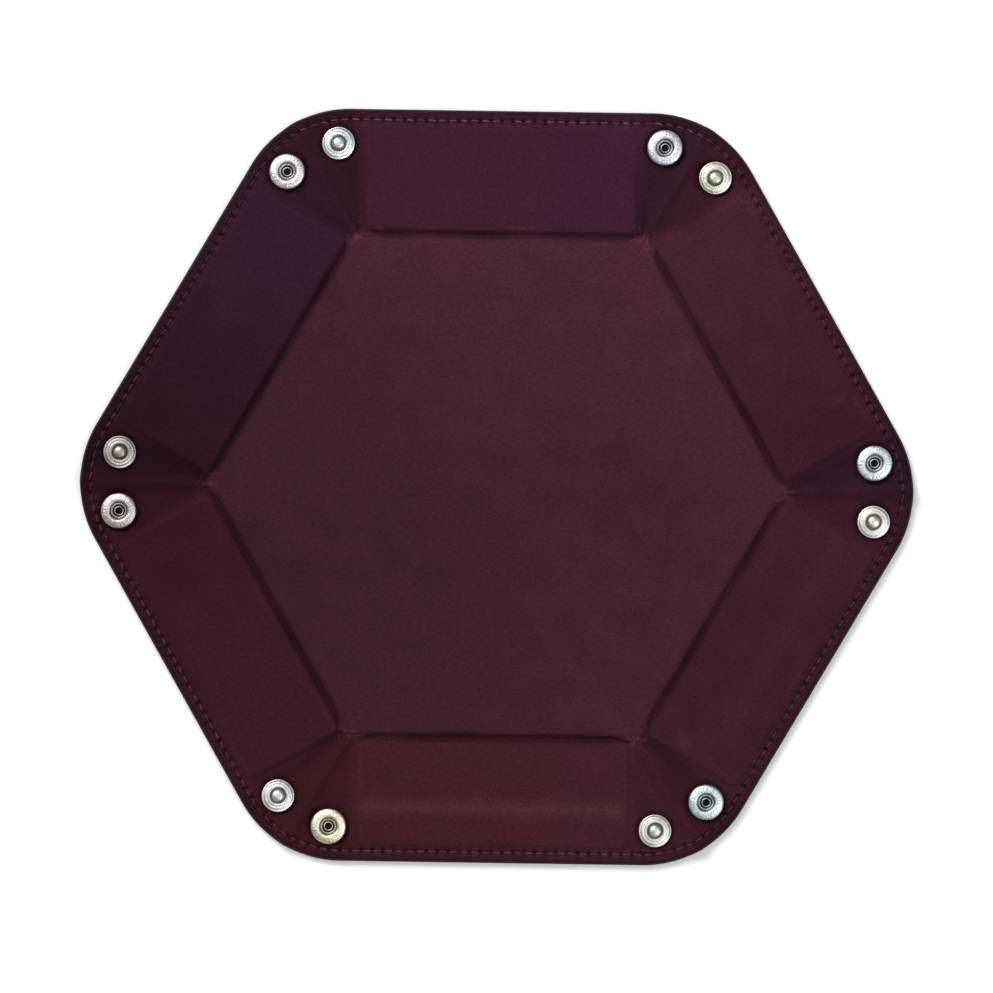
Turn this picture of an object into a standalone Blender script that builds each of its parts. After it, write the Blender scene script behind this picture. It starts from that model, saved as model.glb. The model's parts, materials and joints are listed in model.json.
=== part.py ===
"""Hexagonal folding dice tray, lying open and flat.

A stiff floor and six stiff walls are sandwiched between a velvet lining and a
leatherette cover. Between neighbouring walls the two skins run on without a
board: that soft corner folds outwards into an ear when the walls are raised,
and a press stud, with its socket on one half of the ear and its stud on the
other, holds it shut.

Metres, +Z up. The origin is the middle of the underside. X runs from corner to
corner, Y from flat to flat.
"""
import math

import bmesh
import bpy
from mathutils import Matrix, Vector

# Driving dimensions.
SIDES = 6
TRAY_FLATS = 0.262          # rim to rim, across two opposite walls
FLOOR_FLATS = 0.175         # fold line to fold line
RIM_CORNER_RADIUS = 0.040

LEATHER_THICK = 0.0009
BOARD_THICK = 0.0018
VELVET_THICK = 0.0007
GAP = 0.0003                # clearance between pieces that rest on each other
HALF_GAP = GAP / 2

EAR_BOTTOM = 0.0017         # underside of the soft corner laminate
EAR_TOP = 0.0033            # its velvet face
EAR_FOLD_INSET = 0.0012     # the ear folds this far inside the wall's end
EAR_TIP = 0.0030            # laminate stops this far from the floor's corner along the ear's fold
EAR_CENTRE_TIP = 0.0036     # and this far from it along the corner's centre line
EAR_SPLIT = 0.00025         # half the slit along the ear's own crease
EAR_ARC_STEPS = 5

BOARD_END_INSET = 0.0040    # wall board to the end of its wall
BOARD_FOLD_INSET = 0.0020   # wall board to the floor's fold line
BOARD_RIM_INSET = 0.0065    # wall board to the rim
BOARD_CORNER = 0.0015

SNAP_OUT = 0.03026          # along the corner's centre line, from the floor's corner
SNAP_OFFSET = 0.0102        # to each side of that line
SOCKET_RADIUS = 0.0062
SOCKET_MOUTH = 0.0029
SOCKET_THROAT = 0.0020
SOCKET_HEIGHT = 0.0021
SOCKET_LEDGE = 0.0006       # throat's height above the socket's seat
SOCKET_EDGE = 0.0004        # rounding of the ring's outer edges
SOCKET_SHOULDER = 0.0011    # the ring's top starts this far inside its side
SOCKET_SHOULDER_DROP = 0.0009
STUD_RADIUS = 0.0057
STUD_FLANGE = 0.00045
STUD_BALL = 0.0021
STUD_NECK = 0.0018
STUD_HEIGHT = 0.0020
STUD_BORE = 0.0013
STUD_FLARE = 0.0006         # the neck widens by this much where it meets the flange
STUD_BALL_RISE = 0.0009     # from the flange to the ball's widest point
STUD_CROWN = 0.0010         # the ball's flat top ends this far inside its side
STUD_WALL = 0.0005          # metal left above the ball's hollow
EDGE = 0.0003               # small rounded edges of the turned metal
CAP_RADIUS = 0.0061
CAP_DEPTH = 0.0012
CAP_DOME = ((0.55, 0.92), (0.85, 0.62), (1.0, 0.22))    # shares of the cap's radius and depth
SOCKET_SHANK = 0.0016
STUD_SHANK = 0.0010
STUD_SHANK_DROP = 0.0010    # the shank stops this far below the ball's top
TURNED_STEPS = 24
SHARP_ANGLE = math.radians(35)

# Sizes that follow.
FLOOR_APOTHEM = FLOOR_FLATS / 2
FLOOR_HALF_SIDE = FLOOR_APOTHEM * math.tan(math.pi / SIDES)
WALL_DEPTH = (TRAY_FLATS - FLOOR_FLATS) / 2
BOARD_BOTTOM = LEATHER_THICK + GAP
BOARD_TOP = BOARD_BOTTOM + BOARD_THICK
VELVET_BOTTOM = BOARD_TOP + GAP
VELVET_TOP = VELVET_BOTTOM + VELVET_THICK
HALF_WEDGE = math.pi / SIDES
HOLE_CLEARANCE = GAP


def clear_scene():
    for thing in list(bpy.data.objects):
        bpy.data.objects.remove(thing, do_unlink=True)


def principled(name, colour, roughness, metallic=0.0):
    material = bpy.data.materials.new(name)
    material.use_nodes = True
    shader = material.node_tree.nodes["Principled BSDF"]
    shader.inputs["Base Color"].default_value = (*colour, 1.0)
    shader.inputs["Roughness"].default_value = roughness
    shader.inputs["Metallic"].default_value = metallic
    return material


def add_object(name, mesh, material, parent):
    mesh.materials.append(material)
    thing = bpy.data.objects.new(name, mesh)
    bpy.context.scene.collection.objects.link(thing)
    thing.parent = parent
    return thing


def add_empty(name, location, turn=0.0, parent=None):
    empty = bpy.data.objects.new(name, None)
    empty.empty_display_size = 0.01
    bpy.context.scene.collection.objects.link(empty)
    empty.location = location
    empty.rotation_euler = (0.0, 0.0, turn)
    empty.parent = parent
    return empty


def plate_mesh(name, outline, low, high, hole=None):
    """A flat plate from low to high, with an optional hole (x, y, radius)."""
    shape = bmesh.new()
    loops = [outline]
    if hole:
        x, y, radius = hole
        loops.append(circle_points(x, y, radius))
    for loop in loops:
        corners = [shape.verts.new((px, py, low)) for px, py in loop]
        for first, second in zip(corners, corners[1:] + corners[:1]):
            shape.edges.new((first, second))
    bmesh.ops.triangle_fill(shape, edges=shape.edges[:], use_beauty=True)
    lifted = bmesh.ops.extrude_face_region(shape, geom=shape.faces[:])
    raised = [part for part in lifted["geom"] if isinstance(part, bmesh.types.BMVert)]
    bmesh.ops.translate(shape, verts=raised, vec=(0.0, 0.0, high - low))
    return finish_mesh(name, shape)


def strip_mesh(name, section, half_width):
    """A section in x and z, extruded along y to both sides of the middle."""
    shape = bmesh.new()
    corners = [shape.verts.new((x, -half_width, z)) for x, z in section]
    face = shape.faces.new(corners)
    pushed = bmesh.ops.extrude_face_region(shape, geom=[face])
    moved = [part for part in pushed["geom"] if isinstance(part, bmesh.types.BMVert)]
    bmesh.ops.translate(shape, verts=moved, vec=(0.0, 2 * half_width, 0.0))
    return finish_mesh(name, shape)


def turned_mesh(name, profile, closed):
    """A profile of (radius, z) spun round the z axis."""
    shape = bmesh.new()
    points = [shape.verts.new((radius, 0.0, z)) for radius, z in profile]
    pairs = list(zip(points, points[1:]))
    if closed:
        pairs.append((points[-1], points[0]))
    edges = [shape.edges.new(pair) for pair in pairs]
    bmesh.ops.spin(
        shape,
        geom=points + edges,
        cent=(0.0, 0.0, 0.0),
        axis=(0.0, 0.0, 1.0),
        angle=2 * math.pi,
        steps=TURNED_STEPS,
        use_merge=True,
    )
    bmesh.ops.remove_doubles(shape, verts=shape.verts[:], dist=1e-6)
    mesh = finish_mesh(name, shape)
    mesh.shade_smooth()
    mesh.set_sharp_from_angle(angle=SHARP_ANGLE)
    return mesh


def finish_mesh(name, shape):
    bmesh.ops.recalc_face_normals(shape, faces=shape.faces[:])
    mesh = bpy.data.meshes.new(name)
    shape.to_mesh(mesh)
    shape.free()
    return mesh


def circle_points(x, y, radius, steps=TURNED_STEPS):
    angles = [2 * math.pi * step / steps for step in range(steps)]
    return [(x + radius * math.cos(a), y + radius * math.sin(a)) for a in angles]


def hexagon(apothem):
    radius = apothem / math.cos(math.pi / SIDES)
    angles = [math.pi / 3 * step for step in range(SIDES)]
    return [(radius * math.cos(a), radius * math.sin(a)) for a in angles]


def rounded_rectangle(x_low, x_high, half_width, radius, steps=3):
    """Outline of a board with small rounded corners, counter-clockwise."""
    centres = (
        (x_high - radius, half_width - radius),
        (x_low + radius, half_width - radius),
        (x_low + radius, radius - half_width),
        (x_high - radius, radius - half_width),
    )
    outline = []
    for quarter, (cx, cy) in enumerate(centres):
        for step in range(steps + 1):
            angle = math.pi / 2 * (quarter + step / steps)
            outline.append((cx + radius * math.cos(angle), cy + radius * math.sin(angle)))
    return outline


def make_floor(velvet, leather, board):
    edge = FLOOR_APOTHEM - HALF_GAP
    layers = (
        ("floor_velvet", edge, VELVET_BOTTOM, VELVET_TOP, velvet),
        ("floor_board", FLOOR_APOTHEM - BOARD_FOLD_INSET, BOARD_BOTTOM, BOARD_TOP, board),
        ("floor_leather", edge, 0.0, LEATHER_THICK, leather),
    )
    for name, apothem, low, high, material in layers:
        add_object(name, plate_mesh(name, hexagon(apothem), low, high), material, None)


def wall_meshes():
    """Velvet, board and leather of one wall: x outwards from the fold, z = 0 on it."""
    half_width = FLOOR_HALF_SIDE - EAR_FOLD_INSET - HALF_GAP
    rim_start = WALL_DEPTH - BOARD_RIM_INSET + GAP
    velvet_section = (
        (HALF_GAP, VELVET_BOTTOM - VELVET_TOP),
        (WALL_DEPTH, VELVET_BOTTOM - VELVET_TOP),
        (WALL_DEPTH, 0.0),
        (HALF_GAP, 0.0),
    )
    leather_section = (
        (HALF_GAP, -VELVET_TOP),
        (WALL_DEPTH, -VELVET_TOP),
        (WALL_DEPTH, BOARD_TOP - VELVET_TOP),
        (rim_start, BOARD_TOP - VELVET_TOP),
        (rim_start, LEATHER_THICK - VELVET_TOP),
        (HALF_GAP, LEATHER_THICK - VELVET_TOP),
    )
    board_outline = rounded_rectangle(
        BOARD_FOLD_INSET,
        WALL_DEPTH - BOARD_RIM_INSET,
        FLOOR_HALF_SIDE - BOARD_END_INSET,
        BOARD_CORNER,
    )
    return {
        "velvet": strip_mesh("wall_velvet", velvet_section, half_width),
        "board": plate_mesh(
            "wall_board", board_outline, BOARD_BOTTOM - VELVET_TOP, BOARD_TOP - VELVET_TOP
        ),
        "leather": strip_mesh("wall_leather", leather_section, half_width),
    }


def snap_place():
    """Snap centre from the ear's fold: x along the fold, y away from the wall."""
    x = SNAP_OUT * math.cos(HALF_WEDGE) + SNAP_OFFSET * math.sin(HALF_WEDGE)
    y = SNAP_OUT * math.sin(HALF_WEDGE) - SNAP_OFFSET * math.cos(HALF_WEDGE)
    return x, y + EAR_FOLD_INSET


def gusset_outline():
    """Half of a soft corner, from the ear's fold (y = 0) to the corner's centre line."""
    along = Vector((math.cos(HALF_WEDGE), math.sin(HALF_WEDGE)))
    back = Vector((along.y, -along.x)) * EAR_SPLIT
    corner = Vector((0.0, EAR_FOLD_INSET))
    arc_reach = (TRAY_FLATS / 2 - RIM_CORNER_RADIUS) / math.cos(HALF_WEDGE)
    arc_x = arc_reach * math.cos(HALF_WEDGE) - FLOOR_APOTHEM
    arc_y = arc_reach * math.sin(HALF_WEDGE) - FLOOR_HALF_SIDE + EAR_FOLD_INSET
    last_angle = HALF_WEDGE - EAR_SPLIT / RIM_CORNER_RADIUS
    outline = [(EAR_TIP, HALF_GAP), (WALL_DEPTH, HALF_GAP)]
    for step in range(EAR_ARC_STEPS + 1):
        angle = last_angle * step / EAR_ARC_STEPS
        x = arc_x + RIM_CORNER_RADIUS * math.cos(angle)
        y = arc_y + RIM_CORNER_RADIUS * math.sin(angle)
        outline.append((x, y))
    inner = corner + along * EAR_CENTRE_TIP + back
    outline.append(tuple(inner))
    return outline


def mirrored(mesh, name):
    """The same piece, flipped in y."""
    shape = bmesh.new()
    shape.from_mesh(mesh)
    bmesh.ops.transform(shape, matrix=Matrix.Scale(-1, 4, (0, 1, 0)), verts=shape.verts[:])
    return finish_mesh(name, shape)


def gusset_mesh(name, shank):
    x, y = snap_place()
    hole = (x, y, shank + HOLE_CLEARANCE)
    return plate_mesh(name, gusset_outline(), 0.0, EAR_TOP - EAR_BOTTOM, hole)


def socket_mesh():
    """Spring socket: a thick ring with a round mouth and a narrower throat."""
    seat = EAR_TOP - EAR_BOTTOM + GAP
    top = seat + SOCKET_HEIGHT
    profile = (
        (SOCKET_THROAT, seat),
        (SOCKET_RADIUS - SOCKET_EDGE, seat),
        (SOCKET_RADIUS, seat + SOCKET_EDGE),
        (SOCKET_RADIUS, top - SOCKET_SHOULDER_DROP),
        (SOCKET_RADIUS - SOCKET_EDGE, top - EDGE),
        (SOCKET_RADIUS - SOCKET_SHOULDER, top),
        (SOCKET_MOUTH + EDGE, top),
        (SOCKET_MOUTH, top - EDGE),
        (SOCKET_MOUTH, seat + SOCKET_LEDGE),
        (SOCKET_THROAT, seat + SOCKET_LEDGE),
    )
    return turned_mesh("socket", profile, closed=True)


def stud_mesh():
    """Stud: a round flange with a hollow ball-headed post."""
    seat = EAR_TOP - EAR_BOTTOM + GAP
    top = seat + STUD_HEIGHT
    flange = seat + STUD_FLANGE
    profile = (
        (0.0, top - STUD_WALL),
        (STUD_BORE, top - STUD_WALL),
        (STUD_BORE, seat),
        (STUD_RADIUS - EDGE, seat),
        (STUD_RADIUS, seat + EDGE),
        (STUD_RADIUS - EDGE, flange),
        (STUD_NECK + STUD_FLARE, flange),
        (STUD_NECK, flange + EDGE),
        (STUD_BALL, flange + STUD_BALL_RISE),
        (STUD_BALL - EDGE, top - EDGE),
        (STUD_BALL - STUD_CROWN, top),
        (0.0, top),
    )
    return turned_mesh("stud", profile, closed=False)


def cap_mesh(name, shank, shank_top):
    """Domed cap under the ear, with the shank that goes up through it."""
    face = -GAP
    dome = [(CAP_RADIUS * across, face - CAP_DEPTH * down) for across, down in CAP_DOME]
    profile = (
        (0.0, face - CAP_DEPTH),
        *dome,
        (CAP_RADIUS - EDGE, face),
        (shank, face),
        (shank, shank_top),
        (0.0, shank_top),
    )
    return turned_mesh(name, profile, closed=False)


def snap_meshes():
    ear = EAR_TOP - EAR_BOTTOM
    shank_top = ear + GAP + SOCKET_LEDGE
    rivet_top = ear + GAP + STUD_HEIGHT - STUD_SHANK_DROP
    return {
        "socket": socket_mesh(),
        "socket_cap": cap_mesh("socket_cap", SOCKET_SHANK, shank_top),
        "stud": stud_mesh(),
        "stud_rivet": cap_mesh("stud_rivet", STUD_SHANK, rivet_top),
    }


def make_ear_half(wall_name, half, side, wall_hinge, meshes, materials):
    """One half of a soft corner with its snap; side is +1 or -1 along the wall."""
    fold = add_empty(
        f"{wall_name}_{half}_ear_fold",
        (0.0, side * (FLOOR_HALF_SIDE - EAR_FOLD_INSET), EAR_BOTTOM - VELVET_TOP),
        parent=wall_hinge,
    )
    add_object(f"{wall_name}_{half}_gusset", meshes[f"{half}_gusset"].copy(), materials["velvet"], fold)
    x, y = snap_place()
    under = "socket_cap" if half == "socket" else "stud_rivet"
    for piece in (half, under):
        snap = add_object(f"{wall_name}_{piece}", meshes[piece].copy(), materials["metal"], fold)
        snap.location = (x, side * y, 0.0)


def make_wall(number, meshes, materials):
    name = f"wall_{number}"
    outward = math.pi / 6 + math.pi / 3 * (number - 1)
    hinge = add_empty(
        f"{name}_hinge",
        (FLOOR_APOTHEM * math.cos(outward), FLOOR_APOTHEM * math.sin(outward), VELVET_TOP),
        turn=outward,
    )
    for layer in ("velvet", "board", "leather"):
        add_object(f"{name}_{layer}", meshes[layer].copy(), materials[layer], hinge)
    make_ear_half(name, "stud", 1, hinge, meshes, materials)
    make_ear_half(name, "socket", -1, hinge, meshes, materials)


def main():
    clear_scene()
    materials = {
        "velvet": principled("burgundy velvet", (0.060, 0.016, 0.026), 0.95),
        "leather": principled("black leatherette", (0.012, 0.011, 0.012), 0.55),
        "board": principled("grey board", (0.30, 0.28, 0.25), 0.90),
        "metal": principled("nickel plate", (0.72, 0.71, 0.68), 0.28, 1.0),
    }
    make_floor(materials["velvet"], materials["leather"], materials["board"])
    meshes = wall_meshes()
    meshes.update(snap_meshes())
    meshes["stud_gusset"] = gusset_mesh("stud_gusset", STUD_SHANK)
    socket_side = gusset_mesh("socket_gusset_left", SOCKET_SHANK)
    meshes["socket_gusset"] = mirrored(socket_side, "socket_gusset")
    for number in range(1, SIDES + 1):
        make_wall(number, meshes, materials)


main()
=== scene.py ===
"""Looks of the folding dice tray: velvet, leatherette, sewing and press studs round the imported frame.

The tray lies open. Every fabric surface is one height field over the plan, cut at the folds, so that
neighbouring panels meet exactly. Metres, +Z up, X from corner to corner.
"""
import json
import math

import bpy
import numpy as np
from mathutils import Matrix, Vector


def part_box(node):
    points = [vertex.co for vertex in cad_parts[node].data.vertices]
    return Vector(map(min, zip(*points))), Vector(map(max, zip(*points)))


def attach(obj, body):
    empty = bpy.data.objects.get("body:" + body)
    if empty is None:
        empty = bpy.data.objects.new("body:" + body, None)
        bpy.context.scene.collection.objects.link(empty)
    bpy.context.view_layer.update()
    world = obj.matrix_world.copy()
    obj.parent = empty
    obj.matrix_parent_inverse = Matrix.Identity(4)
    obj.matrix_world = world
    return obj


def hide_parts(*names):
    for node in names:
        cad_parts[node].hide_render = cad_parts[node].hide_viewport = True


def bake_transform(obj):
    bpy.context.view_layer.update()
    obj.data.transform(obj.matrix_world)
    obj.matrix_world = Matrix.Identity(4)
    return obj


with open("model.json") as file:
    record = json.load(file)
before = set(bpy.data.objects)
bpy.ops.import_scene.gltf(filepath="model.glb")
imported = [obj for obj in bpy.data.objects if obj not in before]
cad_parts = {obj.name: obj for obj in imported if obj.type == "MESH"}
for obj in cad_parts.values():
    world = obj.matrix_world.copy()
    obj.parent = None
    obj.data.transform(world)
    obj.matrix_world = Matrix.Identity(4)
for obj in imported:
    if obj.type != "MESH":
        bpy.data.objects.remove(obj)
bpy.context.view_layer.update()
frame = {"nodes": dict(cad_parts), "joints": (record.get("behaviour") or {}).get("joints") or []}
JOINTS = {joint["name"]: joint for joint in frame["joints"]}
MM = 0.001

# ---- Sizes, most of them read from the frame ----
SIDES = 6
HALF_WEDGE = math.pi / SIDES
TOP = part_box("floor_velvet")[1].z
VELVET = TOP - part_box("floor_velvet")[0].z
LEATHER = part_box("floor_leather")[1].z
BOARD_LOW, BOARD_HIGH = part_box("wall_2_board")
APOTHEM = JOINTS["wall_2_fold"]["pos_m"][1]
WALL_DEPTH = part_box("wall_2_leather")[1].y - APOTHEM
HALF_SIDE = APOTHEM * math.tan(HALF_WEDGE)
EAR_LINE = abs(JOINTS["wall_2_stud_ear_fold"]["pos_m"][0])
BOARD_IN = BOARD_LOW.y - APOTHEM
BOARD_OUT = BOARD_HIGH.y - APOTHEM
BOARD_HALF = BOARD_HIGH.x
FLOOR_BOARD_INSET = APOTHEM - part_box("floor_board")[1].y
RIM_RADIUS = 40 * MM
ARC_X = WALL_DEPTH - RIM_RADIUS
ARC_Y = (APOTHEM + ARC_X) * math.tan(HALF_WEDGE)

BOARD_ROUND = 2.0 * MM
EAR_TOP = 3.15 * MM             # velvet face of the soft corners
EAR_BOTTOM = 1.55 * MM          # their leatherette face
RIM_TOP = 2.95 * MM
RIM_BOTTOM = 1.35 * MM
VELVET_RIM = 0.70 * MM          # the velvet stops this far inside the rim
VELVET_ROLL = 0.9 * MM          # and rolls down over this much
BOARD_SLOPE = 2.4 * MM          # the skins slope down beside a board over this much
EDGE_ROUND = 0.60 * MM          # the leatherette's edge is rounded over this much
FOLD_DEPTH, FOLD_DEPTH_UNDER = 0.95 * MM, 0.75 * MM
FOLD_REACH = 1.5 * MM           # the skins bend over this much on each side of a wall fold
EAR_REACH = 2.5 * MM
EAR_START = 1.0 * MM
STITCH_INSET = 3.7 * MM
STITCHES_PER_SIDE = 38          # even, so that a needle hole falls on each wall's middle
THREAD_RADIUS = 0.27 * MM
HOLE_RADIUS = 0.58 * MM
# Depth of the needle holes and of the groove along the seam, in the velvet and under the leatherette.
HOLE_DEPTH, HOLE_DEPTH_UNDER = 0.75 * MM, 0.45 * MM
GROOVE_DEPTH, GROOVE_DEPTH_UNDER = 0.34 * MM, 0.22 * MM
GROOVE_WIDTH = 0.7 * MM
CROWN_LOW = 0.66 * MM           # arch along a soft corner's centre line, by the floor
CROWN_HIGH = 1.86 * MM          # and at the rim, which closes the slit between its halves when folded
CORNER_LENGTH = 44 * MM         # from the floor's corner to the rim
CREASE_SKIN = 0.16 * MM         # velvet over the leatherette along a crease
SKIN_GAP = 0.04 * MM            # least gap between the two skins
WALL_TURN = math.radians(JOINTS["wall_1_fold"]["range_deg"][1])
EAR_RATIO = 0.69                # a soft corner's half turns this much of its wall's turn
EAR_TURN = EAR_RATIO * WALL_TURN
EAR_PIVOT = JOINTS["wall_2_stud_ear_fold"]["pos_m"][2]
MEETING_GAP = 0.03 * MM         # the folded halves stop this far from the plane they meet in
LAP = 0.7 * MM                  # a wall's skins run this far under its neighbours at the floor's corners
LAP_END = 3.0 * MM              # as far out from the fold as this
LAP_DROP = 0.15 * MM            # thinner by this much on each face
TUCK_RADIUS = 2.5 * MM
TUCK_COVER = 0.25 * MM          # how far a tuck stays inside the skins

# ---- Plan geometry ----
OUTWARD = [math.pi / 6 + math.pi / 3 * wall for wall in range(SIDES)]
NORMALS = np.array([[math.cos(a), math.sin(a)] for a in OUTWARD])
TANGENTS = np.array([[-math.sin(a), math.cos(a)] for a in OUTWARD])


def smooth(value):
    value = np.clip(value, 0.0, 1.0)
    return value * value * (3 - 2 * value)


def bell(value, width):
    return np.exp(-((value / width) ** 2))


def ripples(points, wavelength, seed, waves=7):
    """Gentle seeded unevenness, about -1 to 1, from a few crossing waves."""
    draw = np.random.default_rng(seed)
    total = np.zeros(points.shape[:-1])
    for _ in range(waves):
        angle, phase = draw.uniform(0, 2 * math.pi, 2)
        length = wavelength * draw.uniform(0.7, 1.5)
        along = points[..., 0] * math.cos(angle) + points[..., 1] * math.sin(angle)
        total += np.sin(2 * math.pi * along / length + phase)
    return total / math.sqrt(waves)


def to_local(points):
    """Wall index, distance out from its fold, and place along it, of plan points."""
    reach = points @ NORMALS.T
    wall = reach.argmax(-1)
    along = np.take_along_axis(points @ TANGENTS.T, wall[..., None], -1)[..., 0]
    return wall, reach.max(-1) - APOTHEM, along


def to_plan(wall, x, y):
    x, y = np.broadcast_arrays(x, y)
    return (APOTHEM + x)[..., None] * NORMALS[wall] + y[..., None] * TANGENTS[wall]


def rim_distance(x, y):
    """How far a point lies inside the rim."""
    past = np.abs(y) - ARC_Y
    straight = WALL_DEPTH - x
    rounded = RIM_RADIUS - np.hypot(x - ARC_X, past)
    return np.where(past > 0, rounded, straight)


def board_distance(x, y):
    """Signed distance to the nearest board's edge, negative over a board."""
    middle, half_depth = (BOARD_IN + BOARD_OUT) / 2, (BOARD_OUT - BOARD_IN) / 2
    dx = np.abs(x - middle) - half_depth + BOARD_ROUND
    dy = np.abs(y) - BOARD_HALF + BOARD_ROUND
    outside = np.hypot(np.maximum(dx, 0), np.maximum(dy, 0))
    wall_board = outside + np.minimum(np.maximum(dx, dy), 0) - BOARD_ROUND
    return np.minimum(wall_board, x + FLOOR_BOARD_INSET)


SNAPS = []
for wall_number in range(1, SIDES + 1):
    for half in ("socket", "stud"):
        low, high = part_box(f"wall_{wall_number}_{half}")
        SNAPS.append(((low.x + high.x) / 2, (low.y + high.y) / 2, (high.x - low.x) / 2))
SNAPS = np.array(SNAPS)


def snap_gap(points):
    """Distance outside the edge of the nearest press-stud half."""
    reach = np.linalg.norm(points[..., None, :] - SNAPS[:, :2], axis=-1)
    return (reach - SNAPS[:, 2]).min(axis=-1)


# ---- Sewing line ----
STITCH_RADIUS = RIM_RADIUS - STITCH_INSET
STITCH_STRAIGHT = 2 * ARC_Y
STITCH_ARC = STITCH_RADIUS * HALF_WEDGE
STITCH_SIDE = STITCH_STRAIGHT + 2 * STITCH_ARC
PITCH = STITCH_SIDE / STITCHES_PER_SIDE


def seam_point(distance):
    """Local point and heading of the seam, at a distance along it from the wall's middle."""
    sign = np.sign(distance) if distance else 1.0
    past = abs(distance) - ARC_Y
    if past <= 0:
        return WALL_DEPTH - STITCH_INSET, distance, 0.0
    angle = past / STITCH_RADIUS
    x = ARC_X + STITCH_RADIUS * math.cos(angle)
    y = sign * (ARC_Y + STITCH_RADIUS * math.sin(angle))
    return x, y, sign * angle


def seam_distance(x, y):
    """Distance along the seam, from the wall's middle, of the seam point nearest to (x, y)."""
    past = np.abs(y) - ARC_Y
    angle = np.arctan2(past, x - ARC_X)
    along = np.where(past > 0, ARC_Y + angle * STITCH_RADIUS, np.abs(y))
    return np.sign(y) * along


def seam_frame(x, y):
    """Distance to the nearest needle hole along the seam, and distance across from the seam."""
    place = (seam_distance(x, y) + STITCH_SIDE / 2) / PITCH
    return np.abs(place - np.round(place)) * PITCH, rim_distance(x, y) - STITCH_INSET


def needle_hole(x, y, radius=HOLE_RADIUS):
    """1 at the middle of a needle hole, 0 away from it."""
    along, across = seam_frame(x, y)
    return bell(along, radius) * bell(across, radius)


def seam_swell(x, y):
    """The velvet's little swellings beside the stitches, between the needle holes."""
    along, across = seam_frame(x, y)
    sides = bell(np.abs(across) - 1.15 * MM, 0.75 * MM)
    return sides * (0.5 - 0.5 * np.cos(2 * math.pi * along / PITCH))


# ---- Height fields of the two skins ----
def corner_frame(x, y):
    """Distance from the floor's nearest corner, and the angle there from the corner's centre line."""
    dx, dy = x, np.abs(y) - HALF_SIDE
    angle = np.arctan2(dy, dx) - HALF_WEDGE
    return np.hypot(dx, dy), angle


# How far before each floor corner the folds fade out, and how deep each soft corner sinks beside the
# wall's end, for the two ends of walls 1 to 6 (clockwise end, anticlockwise end).
FOLD_GAPS = np.array([[1.2, 4.6], [1.5, 5.2], [4.0, 0.6], [2.6, 4.6], [3.8, 2.6], [4.0, 3.4]]) * MM
SINK_DEPTHS = MM * np.array(
    [[0.95, 0.35], [0.80, 0.85], [0.55, 1.00], [0.30, 0.95], [0.45, 0.40], [0.95, 0.30]])


def at_end(table, wall, y):
    """The table's value for the end of the wall that a point is nearer to."""
    return table[wall, (y > 0).astype(int)]


def fold_line(points):
    """1 in the middle of a wall fold, fading out unevenly before the floor's corners."""
    wall, x, y = to_local(points)
    to_end = HALF_SIDE - np.abs(y)
    gap = at_end(FOLD_GAPS, wall, y)
    thin = smooth((to_end - gap) / (9 * MM))
    width = (0.6 * MM + 0.95 * MM * thin) * (1 + 0.16 * ripples(points, 26 * MM, 31))
    wander = 0.22 * MM * ripples(points, 34 * MM, 32) * thin
    hook = 1.1 * MM * bell(to_end - gap, 2.6 * MM)
    depth = 0.88 + 0.14 * ripples(points, 40 * MM, 33)
    return depth * bell(x - wander - hook, width) * smooth((to_end - gap + 1.5 * MM) / (3 * MM))


def corner_sink(points):
    """Depth of the soft valley that runs out from each floor corner beside the walls' ends."""
    wall, x, y = to_local(points)
    centre = BOARD_HALF + 2.5 * MM + 0.10 * x + 0.5 * MM * ripples(points, 22 * MM, 34)
    width = 1.5 * MM + 0.07 * np.maximum(x, 0)
    along = smooth((x + 0.4 * MM) / (2.4 * MM)) * np.exp(-np.maximum(x, 0) / (17 * MM))
    return at_end(SINK_DEPTHS, wall, y) * along * bell(np.abs(y) - centre, width)


def make_wrinkles():
    """Small sharp wrinkles near the floor's corners: place, direction, half length, width, height, bend."""
    draw = np.random.default_rng(7)
    wrinkles = []
    for corner in range(SIDES):
        heading = corner * math.pi / 3
        tip = HALF_SIDE / math.sin(HALF_WEDGE)
        for _ in range(7):
            out = draw.uniform(-3.2, 2.6) * MM
            over = draw.uniform(-3.6, 3.6) * MM
            turn = heading + draw.choice([-1, 1]) * draw.uniform(0.25, 0.9)
            spot = np.array([
                (tip + out) * math.cos(heading) - over * math.sin(heading),
                (tip + out) * math.sin(heading) + over * math.cos(heading),
            ])
            wrinkles.append((spot, np.array([math.cos(turn), math.sin(turn)]),
                             draw.uniform(0.9, 1.9) * MM, draw.uniform(0.38, 0.55) * MM,
                             draw.uniform(0.16, 0.34) * MM, draw.uniform(-0.16, 0.16) / MM))
    return wrinkles


WRINKLES = make_wrinkles()


def puckers(points):
    """Crumples of the skins round each floor corner, where the creases meet."""
    _, x, y = to_local(points)
    distance, _ = corner_frame(x, y)
    height = 0.24 * MM * bell(distance, 3.6 * MM)
    for spot, heading, length, width, lift, curve in WRINKLES:
        offset = points - spot
        along = offset @ heading
        across = offset @ np.array([-heading[1], heading[0]]) - curve * along ** 2
        fade = np.exp(-((along / length) ** 4))
        height += lift * fade * (bell(across, width) - 0.55 * bell(across - 1.9 * width, width))
    return height


def crown(points):
    """The soft corners arch up along their centre lines, so that their halves meet once folded."""
    _, x, y = to_local(points)
    distance, angle = corner_frame(x, y)
    along = distance * np.cos(angle)
    across = distance * np.sin(angle)
    share = np.clip(along / CORNER_LENGTH, 0, 1)
    height = CROWN_LOW + (CROWN_HIGH - CROWN_LOW) * share
    return height * smooth((along + 0.8 * MM) / (1.6 * MM)) * bell(across, 1.6 * MM + 1.5 * MM * share)


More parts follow.
